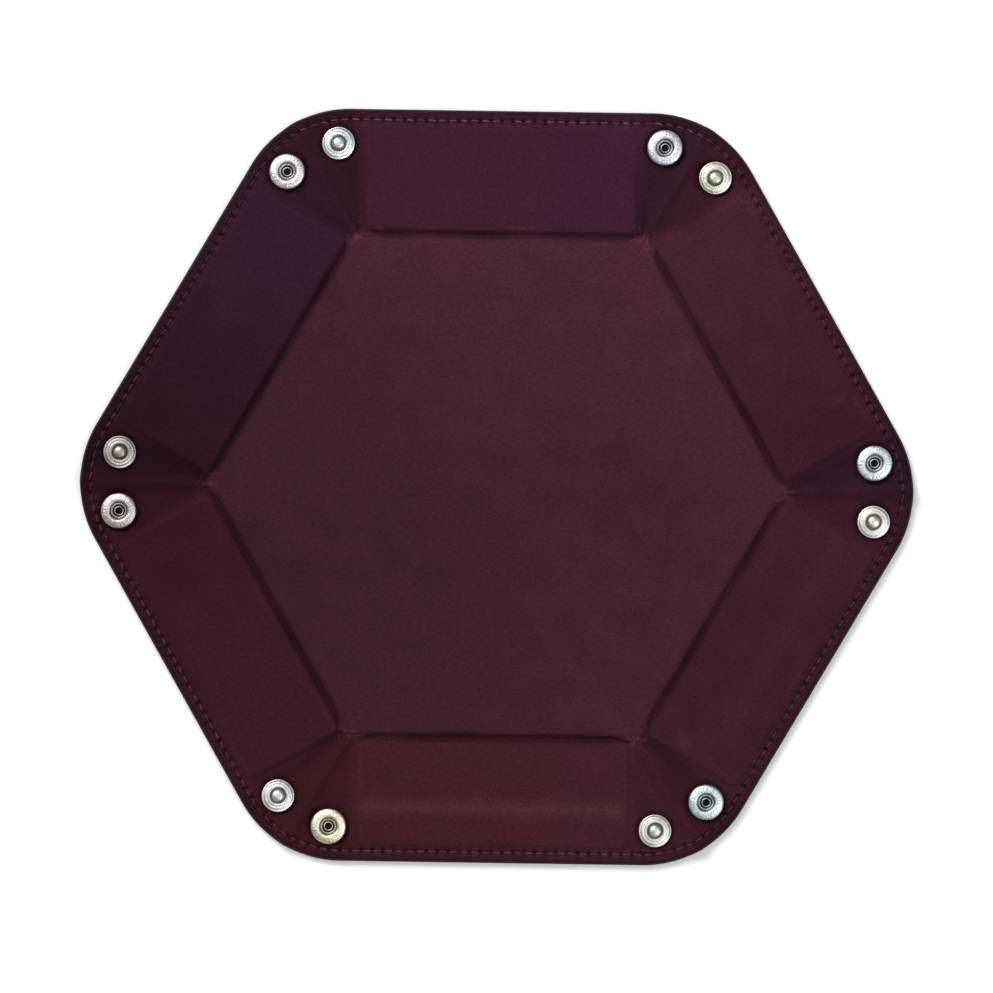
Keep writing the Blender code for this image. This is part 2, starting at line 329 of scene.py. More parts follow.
def meeting_height(points):
    """Height, in the open tray, of the points that lie in a corner's meeting plane once it is folded."""
    _, x, y = to_local(points)
    past = np.abs(y) - EAR_LINE
    turn = EAR_TURN * smooth(past / EAR_REACH)
    sine, cosine = math.sin(HALF_WEDGE), math.cos(HALF_WEDGE)
    rise = math.sin(WALL_TURN) * sine
    out = (APOTHEM + x * math.cos(WALL_TURN)) * sine
    drop = EAR_PIVOT * (1 - np.cos(turn)) - TOP - past * np.sin(turn)
    sideways = EAR_LINE + past * np.cos(turn) - EAR_PIVOT * np.sin(turn)
    gap = out - drop * rise - sideways * cosine
    rate = np.sin(turn) * cosine + np.cos(turn) * rise
    return np.where(x > -0.01 * MM, gap / rate, 1.0)


def crease_edge(points):
    """1 on the centre line of a soft corner, 0 a quarter of a millimetre away from it."""
    _, x, y = to_local(points)
    distance, angle = corner_frame(x, y)
    return smooth(1 - np.abs(distance * np.sin(angle)) / (0.25 * MM)) * (np.cos(angle) > 0)


def towards_rim(inside, at_rim, rim):
    """A soft corner's height, which falls a little towards the rim."""
    return inside + (at_rim - inside) * smooth((9 * MM - rim) / (6 * MM))


def slack(x, edge):
    """1 where the skins are free to ripple, 0 near the boards and the folds."""
    return smooth((edge - 1.5 * MM) / (5 * MM)) * smooth((x - 2 * MM) / (6 * MM))


def velvet_top(points):
    _, x, y = to_local(points)
    edge = board_distance(x, y)
    rim = rim_distance(x, y)
    # Folds, valleys and slack, where no board lies below.
    base = towards_rim(EAR_TOP, RIM_TOP, rim)
    base -= FOLD_DEPTH * fold_line(points) + corner_sink(points)
    waves = 0.20 * MM * ripples(points, 17 * MM, 3) + 0.06 * MM * ripples(points, 6 * MM, 4)
    base += slack(x, edge) * waves
    base += crown(points)
    # The boards lift the velvet, with a long unevenness and a shorter one along their edges.
    lift = smooth((2.0 * MM - edge) / BOARD_SLOPE)
    height = base + (TOP - base) * lift
    height += (1 - 0.7 * lift) * puckers(points)
    height += lift * 0.05 * MM * ripples(points, 46 * MM, 5)
    height += 0.10 * MM * lift * bell(edge + 0.9 * MM, 0.9 * MM) * ripples(points, 23 * MM, 6)
    # A press stud's flat seat, the dent round it, the pile standing up inside it and the swelling outside.
    gap = snap_gap(points)
    seat = smooth((2.0 * MM - gap) / (1.6 * MM))
    height = height * (1 - seat) + EAR_TOP * seat
    height -= 0.45 * MM * bell(gap - 0.45 * MM, 0.7 * MM)
    height += 0.35 * MM * smooth((-0.1 * MM - gap) / (0.8 * MM))
    height += 0.24 * MM * bell(gap - 2.0 * MM, 0.9 * MM)
    # The seam's groove, swellings and needle holes, and the cut edge rolling down.
    height -= GROOVE_DEPTH * bell(rim - STITCH_INSET, GROOVE_WIDTH)
    height += 0.10 * MM * seam_swell(x, y)
    height -= HOLE_DEPTH * needle_hole(x, y)
    roll = np.clip((VELVET_RIM + VELVET_ROLL - rim) / VELVET_ROLL, 0, 1)
    return height - 0.45 * MM * (1 - np.sqrt(1 - roll * roll * 0.98))


def leather_bottom(points):
    _, x, y = to_local(points)
    edge = board_distance(x, y)
    rim = rim_distance(x, y)
    lift = smooth((BOARD_SLOPE - edge) / BOARD_SLOPE)
    base = towards_rim(EAR_BOTTOM, RIM_BOTTOM, rim)
    base -= FOLD_DEPTH_UNDER * fold_line(points) + 0.85 * corner_sink(points)
    base += slack(x, edge) * 0.10 * MM * ripples(points, 15 * MM, 9) + crown(points)
    height = base * (1 - lift)
    height += 0.28 * MM * bell(x, 0.35 * MM) * smooth((HALF_SIDE - np.abs(y)) / (2 * MM))
    seat = smooth((1.9 * MM - snap_gap(points)) / (1.8 * MM))
    height = height * (1 - seat) + EAR_BOTTOM * seat
    height += GROOVE_DEPTH_UNDER * bell(rim - STITCH_INSET, GROOVE_WIDTH)
    height += HOLE_DEPTH_UNDER * needle_hole(x, y)
    return np.maximum(height, 0.0)


def velvet_bottom(points):
    return np.maximum(velvet_top(points) - VELVET, leather_top(points) + SKIN_GAP)


def leather_top(points):
    velvet_face = velvet_top(points)
    inner = np.minimum(leather_bottom(points) + LEATHER, velvet_face - 0.45 * MM)
    return inner + (velvet_face - CREASE_SKIN - inner) * crease_edge(points)


def rim_section(points, inner_top, inner_bottom):
    """The leatherette's rounded black edge, which stands up round the velvet."""
    _, x, y = to_local(points)
    rim = rim_distance(x, y)
    high = RIM_TOP - 0.28 * MM + crown(points)
    low = RIM_BOTTOM + crown(points)
    middle, half = (high + low) / 2, (high - low) / 2
    bulge = half * np.sqrt(np.clip(1 - (1 - rim / EDGE_ROUND).clip(0, 1) ** 2, 0.03, 1))
    top = np.where(rim < VELVET_RIM - 0.02 * MM, middle + bulge, inner_top)
    return top, np.where(rim < EDGE_ROUND, middle - bulge, inner_bottom)


# ---- Velvet colour over the plan: one pile, with painted light and shade that differ on each panel ----
def srgb(colours):
    """Linear values of 8-bit display colours."""
    values = np.array(colours) / 255
    return np.where(values <= 0.04045, values / 12.92, ((values + 0.055) / 1.055) ** 2.4)


PILE_LEVEL = np.array([0.79, 0.655, 0.73])   # takes the display colours below to the pile's own
FLOOR_COLOUR = srgb((63, 33, 43))
OUTER_LEVEL = 0.935                          # the walls and soft corners are a little darker
HOLE_SHADE = np.array([0.62, 0.90, 0.84])     # a needle hole stays a little redder than the pile
THREAD_DARK = np.array([0.040, 0.009, 0.016])
THREAD_LIGHT = np.array([0.170, 0.066, 0.088])
THREAD_LEVELS = np.array([0.26, 0.82, 0.18, 0.24, 0.50, 0.26])   # walls 1 to 6
PALE_TINT = np.array([0.08, 0.38, 0.12])     # the painted sheen streak on the bottom wall is less red
# Panel colours at the clockwise and anticlockwise end of walls 1 to 6, and of their soft corners, with
# painted light and shade.
WALL_COLOURS_AS_LIT = srgb([
    [(61, 29, 40), (69, 36, 47)],   # upper right
    [(65, 33, 49), (62, 30, 44)],   # top
    [(54, 27, 42), (44, 20, 29)],   # upper left
    [(55, 23, 34), (60, 28, 39)],   # lower left
    [(66, 31, 38), (69, 34, 45)],   # bottom
    [(62, 31, 42), (62, 30, 41)],   # lower right
])
EAR_COLOURS_AS_LIT = srgb([
    [(48, 25, 38), (57, 27, 37)],
    [(50, 26, 38), (51, 24, 33)],
    [(49, 25, 37), (38, 15, 23)],
    [(49, 19, 29), (57, 25, 31)],
    [(60, 25, 32), (64, 31, 42)],
    [(57, 26, 36), (58, 26, 37)],
])
BOTTOM_WALL, LOWER_RIGHT_WALL = 4, 5
# Painted highlights, pale spots on the walls: place and radius in millimetres, strength.
PAINTED_HIGHLIGHT_SPOTS = (((118.3, 32.1), 1.7, 0.40), ((66.2, -87.7), 2.3, 0.50), ((118.0, -16.7), 2.6, 0.25))


def painted_sheen_streak(x, y, out, width, start, end):
    """A painted line of sheen along a wall, where a bowed wall catches the light."""
    ends = smooth((y - start) / (6 * MM)) * smooth((end - y) / (6 * MM))
    return bell(x - out, width) * ends


def round_corner(y):
    """0 along a side's straight part, 1 round its corners."""
    return smooth((np.abs(y) - ARC_Y + 4 * MM) / (8 * MM))


# The velvet's colour, with painted light and shade: panel tints as lit, a floor lighter towards the top,
# sheen streaks, highlights, and shade in folds, valleys, needle holes and round the studs.
def velvet_colour(points):
    wall, x, y = to_local(points)
    right, up = points[..., 0] / APOTHEM, points[..., 1] / APOTHEM
    # Painted light: the floor is lighter towards the top and a little towards the right.
    floor = FLOOR_COLOUR * (1 + 0.17 * right + 0.147 * up + 0.19 * up ** 2)[..., None]
    share = smooth((y / HALF_SIDE + 1) / 2)[..., None]
    # Painted light and shade: each panel's tint as it met the light, and the soft corners painted darker, as
    # in shade.
    panel = WALL_COLOURS_AS_LIT[wall, 0] * (1 - share) + WALL_COLOURS_AS_LIT[wall, 1] * share
    bow = 2.2 * MM * np.sin(math.pi * np.clip(x / (36 * MM), 0, 1)) + 0.8 * MM * ripples(points, 24 * MM, 15)
    across_corner = smooth((np.abs(y) - BOARD_HALF + bow) / (7.5 * MM))[..., None]
    halves = at_end(EAR_COLOURS_AS_LIT, wall, y)
    partner = (wall + np.where(y > 0, 1, -1)) % SIDES
    others = EAR_COLOURS_AS_LIT[partner, (y <= 0).astype(int)]
    middle = smooth(1 - (np.abs((APOTHEM + x) * math.tan(HALF_WEDGE)) - np.abs(y)) / (5 * MM))[..., None]
    ear = halves * (1 - middle / 2) + others * middle / 2
    outer = OUTER_LEVEL * (panel * (1 - across_corner) + ear * across_corner)
    to_wall = smooth((x + 1.5 * MM) / (3 * MM))[..., None]
    colour = floor * (1 - to_wall) + outer * to_wall
    gain = 1 + 0.035 * ripples(points, 60 * MM, 11) + 0.035 * ripples(points, 16 * MM, 12)
    # Painted sheen: a pale streak along the bottom wall, and a fainter one along the lower right wall.
    streak = (wall == BOTTOM_WALL) * painted_sheen_streak(x, y, 24.2 * MM, 2.3 * MM, -50 * MM, 49 * MM)
    gain += (0.40 - 0.12 * y / HALF_SIDE) * streak
    colour = colour * (1 + streak[..., None] * PALE_TINT)
    gain += 0.16 * (wall == LOWER_RIGHT_WALL) * painted_sheen_streak(x, y, 25 * MM, 3.2 * MM, -38 * MM, 46 * MM)
    # Painted highlight spots.
    for spot, radius, strength in PAINTED_HIGHLIGHT_SPOTS:
        away = np.linalg.norm(points - np.array(spot) * MM, axis=-1)
        gain += strength * bell(away, radius * MM)
    edge = board_distance(x, y)
    # Painted highlight along some of the boards' edges, where the velvet rides over them.
    board_edge_highlight = bell(edge + 0.4 * MM, 0.8 * MM) * smooth((ripples(points, 30 * MM, 13) + 0.2) / 1.2)
    gain += 0.14 * board_edge_highlight * (x > 0)
    # Painted highlight on the crests of the puckers round the floor's corners.
    gain += 2.2 * (puckers(points) - 0.10 * MM).clip(0) / MM
    # Painted shade in the folds, in the valleys beside the walls' ends, and in a ring round each press stud.
    gain *= 1 - 0.48 * fold_line(points)
    gain *= 1 - 0.46 * corner_sink(points) / MM
    gain *= 1 - 0.55 * bell(snap_gap(points) - 0.3 * MM, 0.9 * MM)
    # Painted highlight on the swellings beside the stitches.
    gain *= 1 + (0.20 + 0.14 * ripples(points, 9 * MM, 18)) * seam_swell(x, y)
    gain *= 1 - 0.24 * smooth((STITCH_INSET - 0.4 * MM - rim_distance(x, y)) / (1.2 * MM))
    holes = (1 - 0.30 * round_corner(y)) * needle_hole(x, y, 0.95 * MM)
    holes = (holes * (0.8 + 0.2 * ripples(points, 7 * MM, 16))).clip(0, 1)
    return colour * PILE_LEVEL * gain[..., None] * (1 - holes[..., None] * HOLE_SHADE)


def thread_colour(points):
    """The thread's colour: it stands out on some sides and sinks into the pile on others."""
    wall, _, y = to_local(points)
    level = THREAD_LEVELS[wall] * (1 - 0.35 * round_corner(y)) * (0.85 + 0.45 * ripples(points, 8 * MM, 17))
    return THREAD_DARK + (THREAD_LIGHT - THREAD_DARK) * level.clip(0, 1)[..., None]


# ---- Meshes ----
def link(name, mesh, material):
    mesh.materials.append(material)
    piece = bpy.data.objects.new(name, mesh)
    bpy.context.scene.collection.objects.link(piece)
    return piece


def mesh_from(name, vertices, faces, sharp_angle=50):
    mesh = bpy.data.meshes.new(name)
    mesh.from_pydata(vertices.tolist(), [], faces)
    mesh.shade_smooth()
    mesh.set_sharp_from_angle(angle=math.radians(sharp_angle))
    return mesh


def closed_sheet(name, plan, top, bottom, quads, border, material, colour=None):
    """Two faces over the same plan points, joined round their border."""
    shift = len(plan)
    ahead = np.roll(border, -1)
    skirt = np.stack([border, border + shift, ahead + shift, ahead], -1)
    vertices = np.concatenate([np.column_stack([plan, top]), np.column_stack([plan, bottom])])
    faces = np.concatenate([quads, quads[:, ::-1] + shift, skirt]).tolist()
    mesh = mesh_from(name, vertices, faces)
    paint_plan(mesh, colour)
    return link(name, mesh, material)


def slab(name, plan, top, bottom, material, colour=None):
    """A closed sheet over a grid of plan points."""
    rows, columns = plan.shape[:2]
    across, down = plan[0, 1] - plan[0, 0], plan[1, 0] - plan[0, 0]
    if across[0] * down[1] - across[1] * down[0] < 0:
        plan, top, bottom = plan[::-1], top[::-1], bottom[::-1]
    index = np.arange(rows * columns).reshape(rows, columns)
    quads = np.stack([index[:-1, :-1], index[:-1, 1:], index[1:, 1:], index[1:, :-1]], -1).reshape(-1, 4)
    border = np.concatenate([index[0, :-1], index[:-1, -1], index[-1, :0:-1], index[:0:-1, 0]])
    plan, top, bottom = plan.reshape(-1, 2), top.ravel(), bottom.ravel()
    return closed_sheet(name, plan, top, bottom, quads, border, material, colour)


def paint_plan(mesh, colour=None):
    """Stores the rest plan as the UV map, and a given colour on each vertex, which for the velvet holds
    painted light and shade as well as the pile's colour.
    """
    spots = np.zeros(len(mesh.vertices) * 3)
    mesh.vertices.foreach_get("co", spots)
    plan = spots.reshape(-1, 3)[:, :2]
    corners = np.zeros(len(mesh.loops), int)
    mesh.loops.foreach_get("vertex_index", corners)
    layer = mesh.uv_layers.new(name="plan")
    layer.data.foreach_set("uv", plan[corners].ravel())
    if colour is not None:
        attribute = mesh.color_attributes.new("pile", "FLOAT_COLOR", "POINT")
        values = np.concatenate([colour(plan), np.ones((len(plan), 1))], -1)
        attribute.data.foreach_set("color", values.ravel())


def steps(*stretches):
    """Places along a line from (start, end, spacing) stretches, joined."""
    places = [stretches[0][0]]
    for start, end, spacing in stretches:
        count = max(1, round(abs(end - start) / spacing))
        places += list(start + (end - start) * np.arange(1, count + 1) / count)
    return np.array(places)


def wall_grid(wall, outer_places, spacing):
    """Plan grid of a wall's skin, from inside its fold to the rim, and how much each point is thinned."""
    x = np.concatenate([
        steps((-FOLD_REACH, 4 * MM, 0.34 * MM), (4 * MM, BOARD_OUT - 2 * MM, 2.6 * MM),
              (BOARD_OUT - 2 * MM, WALL_DEPTH - 5.5 * MM, 0.5 * MM)),
        WALL_DEPTH - outer_places,
    ])
    count = int(EAR_LINE / spacing - 0.2)
    share = np.concatenate([[-1], np.arange(-count, count + 1) * spacing / EAR_LINE, [1]])
    mitre = HALF_SIDE + x * math.tan(HALF_WEDGE)
    taper = HALF_SIDE - (HALF_SIDE - EAR_LINE) * np.clip(x / EAR_START, 0, 1)
    seam = np.where(x < 0, mitre, taper)[:, None]
    lapped = seam + LAP * smooth((LAP_END - x) / (1.0 * MM))[:, None]
    y = share[None, :] * lapped
    thinning = LAP_DROP * smooth((np.abs(y) - seam) / (0.2 * MM) + 0.5) * (lapped > seam)
    return to_plan(wall, x[:, None], y), thinning


def ear_grid(wall, side, outer_places, columns=48):
    """Plan grid of half a soft corner, from the floor's corner to the rim."""
    share = np.linspace(0, 1, columns + 1)
    inner = np.stack([EAR_START * (1 - share), HALF_SIDE - (HALF_SIDE - EAR_LINE) * (1 - share)], -1)
    straight = ARC_Y - EAR_LINE
    length = share * (straight + RIM_RADIUS * HALF_WEDGE)
    angle = np.clip((length - straight) / RIM_RADIUS, 0, None)
    rim = np.stack([
        ARC_X + RIM_RADIUS * np.cos(angle),
        np.where(angle > 0, ARC_Y + RIM_RADIUS * np.sin(angle), EAR_LINE + length),
    ], -1)
    ray = rim - inner
    reach = np.linalg.norm(ray, axis=-1)
    body = steps((0, 0.16, 0.011), (0.16, 1, 0.036))
    places = body[:, None] * (reach - 5.5 * MM)[None, :]
    places = np.concatenate([places, reach[None, :] - outer_places[:, None]])
    local = inner[None] + ray[None] * (places / reach)[..., None]
    return to_plan(wall, local[..., 0], side * local[..., 1])


VELVET_OUTER = steps((5.2 * MM, VELVET_RIM, 0.3 * MM))
LEATHER_OUTER = np.concatenate([
    steps((5.2 * MM, VELVET_RIM + 0.03 * MM, 0.37 * MM)),
    steps((VELVET_RIM - 0.03 * MM, 0.0, 0.12 * MM)),
])


def floor_skin(name, top, bottom, material, colour=None):
    """The floor's skin: three rhombic grids that meet in the middle, finer towards the folds."""
    size = (APOTHEM - FOLD_REACH) / math.cos(HALF_WEDGE)
    places = steps((0, 0.93, 0.022), (0.93, 1, 0.005))
    vertices, faces = [], []
    for turn in range(3):
        first, second = (2 * math.pi / 3 * turn, 2 * math.pi / 3 * (turn + 1))
        a = np.array([math.cos(first), math.sin(first)]) * size
        b = np.array([math.cos(second), math.sin(second)]) * size
        plan = places[:, None, None] * a + places[None, :, None] * b
        index = np.arange(len(places) ** 2).reshape(len(places), -1) + turn * len(places) ** 2
        quads = np.stack([index[:-1, :-1], index[1:, :-1], index[1:, 1:], index[:-1, 1:]], -1)
        vertices.append(plan.reshape(-1, 2))
        faces.append(quads.reshape(-1, 4))
    plan, quads = merged(np.concatenate(vertices), np.concatenate(faces))
    return closed_sheet(name, plan, top(plan), bottom(plan), quads, border_loop(quads), material, colour)


def merged(plan, quads):
    """Joins the points that the rhombi share."""
    keys = np.round(plan / (0.001 * MM)).astype(np.int64)
    _, first, back = np.unique(keys, axis=0, return_index=True, return_inverse=True)
    return plan[first], back.ravel()[quads]


def border_loop(quads):
    """The outline of a patch of quads, as one loop of its points."""
    pairs = dict.fromkeys(pair for quad in quads.tolist() for pair in zip(quad, quad[1:] + quad[:1]))
    onward = {a: b for a, b in pairs if (b, a) not in pairs}
    start = next(iter(onward))
    loop = [start]
    while onward[loop[-1]] != start:
        loop.append(onward[loop[-1]])
    return np.array(loop)


def turned(name, profile, plating_and_light, stipple=None, closed=False, seed=0, segments=168):
    """A (radius, height, darkening) profile turned round Z; closed joins its last point to its first.

    Plating is the metal's colour, with painted light in it; each point's darkening stands for dirt and
    painted shade.
    Stipple (inner, outer, depth, lowest height) roughens the ring of the upper face between two radii.
    """
    angles = 2 * math.pi * np.arange(segments) / segments
    draw = np.random.default_rng(seed)
    vertices, rings, grime_and_shade_levels = [], [], []
    for radius, height, grime_and_shade in profile:
        if radius < 1e-7:
            rings.append([len(vertices)] * segments)
            vertices.append((0.0, 0.0, height))
            grime_and_shade_levels.append(grime_and_shade)
            continue
        rings.append(list(range(len(vertices), len(vertices) + segments)))
        heights = np.full(segments, height)
        if stipple is not None and stipple[0] < radius < stipple[1] and height > stipple[3]:
            heights += stipple[2] * draw.normal(0, 1, segments)
            strokes = np.sin(angles * 31 + 2.2 * np.sin(angles * 5 + seed)) > 0.35
            inside = bell(radius - (stipple[0] * 0.4 + stipple[1] * 0.6), 0.5 * MM)
            heights -= 2.6 * stipple[2] * strokes * inside * (draw.random(segments) < 0.8)
        vertices += [(radius * math.cos(a), radius * math.sin(a), z) for a, z in zip(angles, heights)]
        grime_and_shade_levels += [grime_and_shade] * segments
    faces = []
    pairs = list(zip(rings, rings[1:])) + ([(rings[-1], rings[0])] if closed else [])
    for lower, upper in pairs:
        for i in range(segments):
            j = (i + 1) % segments
            corners = dict.fromkeys((lower[i], lower[j], upper[j], upper[i]))
            faces.append(tuple(corners))
    mesh = mesh_from(name, np.array(vertices), faces, sharp_angle=48)
    clean_and_lit = 1 - np.array(grime_and_shade_levels)[:, None]
    layer = mesh.color_attributes.new("plating_and_light", "FLOAT_COLOR", "POINT")
    values = np.concatenate([clean_and_lit * np.array(plating_and_light), np.ones((len(vertices), 1))], -1)
    layer.data.foreach_set("color", values.ravel())
    return link(name, mesh, nickel)


def arc(centre, radius, start, end, count):
    """Profile points on a circular arc; angles in degrees from the outward direction."""
    angles = np.radians(np.linspace(start, end, count))
    return [(centre[0] + radius * math.cos(a), centre[1] + radius * math.sin(a)) for a in angles]


# ---- Materials ----
class Shading:
    """A material's node tree, with short calls for the nodes used here."""

    def __init__(self, name, **constants):
        self.material = bpy.data.materials.new(name)
        self.material.use_nodes = True
        self.tree = self.material.node_tree
        self.shader = self.tree.nodes["Principled BSDF"]
        self.drive(**constants)

    def feed(self, node, **inputs):
        """Sets a node's inputs: numbers and colours as values, other nodes' outputs as links."""
        for name, value in inputs.items():
            socket = node.inputs[name.replace("_", " ")]
            if isinstance(value, bpy.types.NodeSocket):
                self.tree.links.new(value, socket)
            else:
                socket.default_value = value

    def node(self, kind, settings=(), **inputs):
        made = self.tree.nodes.new(kind)
        for key, value in settings:
            setattr(made, key, value)
        self.feed(made, **inputs)
        return made

    def drive(self, **inputs):
        self.feed(self.shader, **inputs)

    def plan(self, across, along):
        """The rest plan, in units of the given grain sizes."""
        uv = self.node("ShaderNodeUVMap", [("uv_map", "plan")]).outputs["UV"]
        return self.node("ShaderNodeMapping", Vector=uv, Scale=(1 / across, 1 / along, 1.0)).outputs["Vector"]

    def local(self, size):
        place = self.node("ShaderNodeTexCoord").outputs["Object"]
        scale = (1 / size, 1 / size, 1 / size)
        return self.node("ShaderNodeMapping", Vector=place, Scale=scale).outputs["Vector"]

    def vertex_colour(self, layer):
        return self.node("ShaderNodeVertexColor", [("layer_name", layer)]).outputs["Color"]

    def noise(self, vector, detail=2.0, roughness=0.5, distortion=0.0):
        return self.node("ShaderNodeTexNoise", Vector=vector, Scale=1.0, Detail=detail,
                         Roughness=roughness, Distortion=distortion).outputs["Fac"]

    def cells(self, vector, feature="F1"):
        return self.node("ShaderNodeTexVoronoi", [("feature", feature)], Vector=vector, Scale=1.0,
                         Randomness=1.0).outputs["Distance"]

    def remap(self, value, low, high, from_low=0.3, from_high=0.7):
        return self.node("ShaderNodeMapRange", Value=value, From_Min=from_low, From_Max=from_high,
                         To_Min=low, To_Max=high).outputs["Result"]

    def maths(self, operation, first, second):
        made = self.node("ShaderNodeMath", [("operation", operation)])
        self.tree.links.new(first, made.inputs[0])
        self.tree.links.new(second, made.inputs[1])
        return made.outputs["Value"]

    def scaled_colour(self, colour, factor):
        made = self.node("ShaderNodeVectorMath", [("operation", "SCALE")], Scale=factor)
        self.tree.links.new(colour, made.inputs[0])
        return made.outputs["Vector"]

    def mixed(self, factor, first, second):
        made = self.node("ShaderNodeMix", [("data_type", "RGBA")], Factor=factor)
        for socket, value in zip([s for s in made.inputs if s.type == "RGBA"], (first, second)):
            socket.default_value = (*value, 1.0)
        return [s for s in made.outputs if s.type == "RGBA"][0]

    def bump(self, height, distance, strength, **below):
        """Relief from a height; below may give the Normal of coarser relief."""
        return self.node("ShaderNodeBump", Height=height, Distance=distance, Strength=strength,
                         **below).outputs["Normal"]


def velvet_material():
    """Short burgundy pile: soft sheen, fine brushed nap, slight mottling."""
    m = Shading("velvet pile", Specular_IOR_Level=0.06, Sheen_Weight=0.22, Sheen_Roughness=0.28,
                Sheen_Tint=(0.45, 0.10, 0.17, 1.0))
    brushed = m.noise(m.plan(0.45 * MM, 1.3 * MM), detail=3.0, roughness=0.62)
    crossed = m.noise(m.plan(1.7 * MM, 0.6 * MM), detail=3.0, roughness=0.6)
    tuft = m.noise(m.plan(0.26 * MM, 0.30 * MM), detail=2.0, roughness=0.6)
    patch = m.noise(m.plan(5.5 * MM, 7.5 * MM), detail=3.0, roughness=0.55, distortion=0.6)
    weave = m.maths("MULTIPLY", m.remap(brushed, 0.79, 1.23), m.remap(crossed, 0.83, 1.19))
    fleck = m.maths("MULTIPLY", weave, m.remap(tuft, 0.88, 1.13))
    shade = m.maths("MULTIPLY", fleck, m.remap(patch, 0.93, 1.08))
    m.drive(Base_Color=m.scaled_colour(m.vertex_colour("pile"), shade))
    m.drive(Roughness=m.remap(patch, 0.86, 0.96))
    coarse = m.bump(brushed, 0.16 * MM, 0.55)
    m.drive(Normal=m.bump(tuft, 0.12 * MM, 0.6, Normal=coarse))
    return m.material


def leather_material():
    """Black leatherette: pebbled grain, satin, with a faint sheen from wear."""
    m = Shading("black leatherette", Specular_IOR_Level=0.24, Coat_Weight=0.03, Coat_Roughness=0.40)
    grain = m.cells(m.plan(0.95 * MM, 0.80 * MM), feature="DISTANCE_TO_EDGE")
    pores = m.noise(m.plan(0.22 * MM, 0.22 * MM), detail=3.0)
    drift = m.noise(m.plan(14 * MM, 9 * MM), detail=4.0, roughness=0.6)
    m.drive(Base_Color=m.mixed(m.remap(drift, 0.0, 1.0), (0.0050, 0.0042, 0.0046), (0.0100, 0.0084, 0.0092)))
    m.drive(Roughness=m.maths("ADD", m.remap(drift, 0.42, 0.56), m.remap(pores, -0.04, 0.06)))
    pebble = m.remap(grain, 0.0, 1.0, 0.0, 0.22)
    raised = m.bump(pebble, 0.10 * MM, 0.75)
    m.drive(Normal=m.bump(pores, 0.03 * MM, 0.5, Normal=raised))
    return m.material


def thread_material():
    """Burgundy polyester thread with its ply showing."""
    m = Shading("burgundy thread", Specular_IOR_Level=0.18, Sheen_Weight=0.12, Sheen_Roughness=0.4)
    bands = [("wave_type", "BANDS"), ("bands_direction", "DIAGONAL")]
    twist = m.node("ShaderNodeTexWave", bands, Vector=m.plan(0.42 * MM, 0.42 * MM), Scale=0.55,
                   Distortion=0.4).outputs["Fac"]
    fibre = m.noise(m.plan(0.10 * MM, 0.10 * MM), detail=2.0)
    m.drive(Base_Color=m.scaled_colour(m.vertex_colour("pile"), m.remap(twist, 0.55, 1.15, 0.0, 1.0)))
    m.drive(Roughness=m.remap(fibre, 0.50, 0.72))
    m.drive(Normal=m.bump(twist, 0.08 * MM, 0.8))
    return m.material


def nickel_material():
    """Nickel plate, handled: tiny dents, hazy patches, dirt and painted shade in the recesses."""
    m = Shading("nickel plate", Metallic=1.0)
    haze = m.noise(m.local(1.3 * MM), detail=4.0, roughness=0.62)
    dents = m.cells(m.local(0.55 * MM))
    scuff = m.noise(m.local(0.17 * MM), detail=3.0, roughness=0.7)
    tone = m.maths("MULTIPLY", m.remap(haze, 0.84, 1.12), m.remap(scuff, 0.90, 1.08))
    m.drive(Base_Color=m.scaled_colour(m.vertex_colour("plating_and_light"), tone))
    m.drive(Roughness=m.maths("ADD", m.remap(haze, 0.30, 0.42), m.remap(scuff, -0.05, 0.07)))
    dented = m.bump(m.remap(dents, 0.0, 1.0, 0.0, 0.35), 0.07 * MM, 0.6)
    m.drive(Normal=m.bump(scuff, 0.05 * MM, 0.8, Normal=dented))
    return m.material


def board_material():
    """Grey board, inside the skins."""
    m = Shading("grey board", Specular_IOR_Level=0.2)
    fibre = m.noise(m.local(1.2 * MM), detail=5.0, roughness=0.65)
    m.drive(Base_Color=m.mixed(m.remap(fibre, 0.0, 1.0), (0.22, 0.20, 0.17), (0.34, 0.31, 0.27)))
    m.drive(Roughness=m.remap(fibre, 0.82, 0.95))
    m.drive(Normal=m.bump(fibre, 0.05 * MM, 0.5))
    return m.material


def table_material():
    m = Shading("pale table", Roughness=0.7, Specular_IOR_Level=0.2)
    tone = m.noise(m.local(40 * MM), detail=2.0)
    m.drive(Base_Color=m.mixed(m.remap(tone, 0.0, 1.0), (0.90, 0.90, 0.90), (0.92, 0.92, 0.92)))
    return m.material


velvet = velvet_material()
leather = leather_material()
thread = thread_material()
nickel = nickel_material()
board = board_material()


def make_floor():
    for name, top, bottom, skin, colour, node, slot in (
        ("velvet_floor", velvet_top, velvet_bottom, velvet, velvet_colour, "floor_velvet", "velvet"),
        ("leather_floor", leather_top, leather_bottom, leather, None, "floor_leather", "leatherette"),
    ):
        piece = floor_skin(name, top, bottom, skin, colour)
        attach(piece, "floor")
        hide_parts(node)


def leather_slab(name, plan, thinning=0.0, limit=np.inf):
    top, bottom = rim_section(plan, leather_top(plan), leather_bottom(plan))
    top = np.minimum(top, limit - CREASE_SKIN)
    return slab(name, plan, top - thinning, bottom + thinning, leather)


def velvet_slab(name, plan, thinning=0.0, limit=np.inf):
    top = np.minimum(velvet_top(plan), limit) - thinning
    bottom = np.minimum(velvet_bottom(plan), limit - CREASE_SKIN + SKIN_GAP) + thinning
    return slab(name, plan, top, bottom, velvet, velvet_colour)


# Name, rows by the rim, spacing along a wall, builder and slot of each skin.
SKINS = (
    ("velvet", VELVET_OUTER, PITCH / 8, velvet_slab, "velvet"),
    ("leather", LEATHER_OUTER, PITCH / 6, leather_slab, "leatherette"),
)


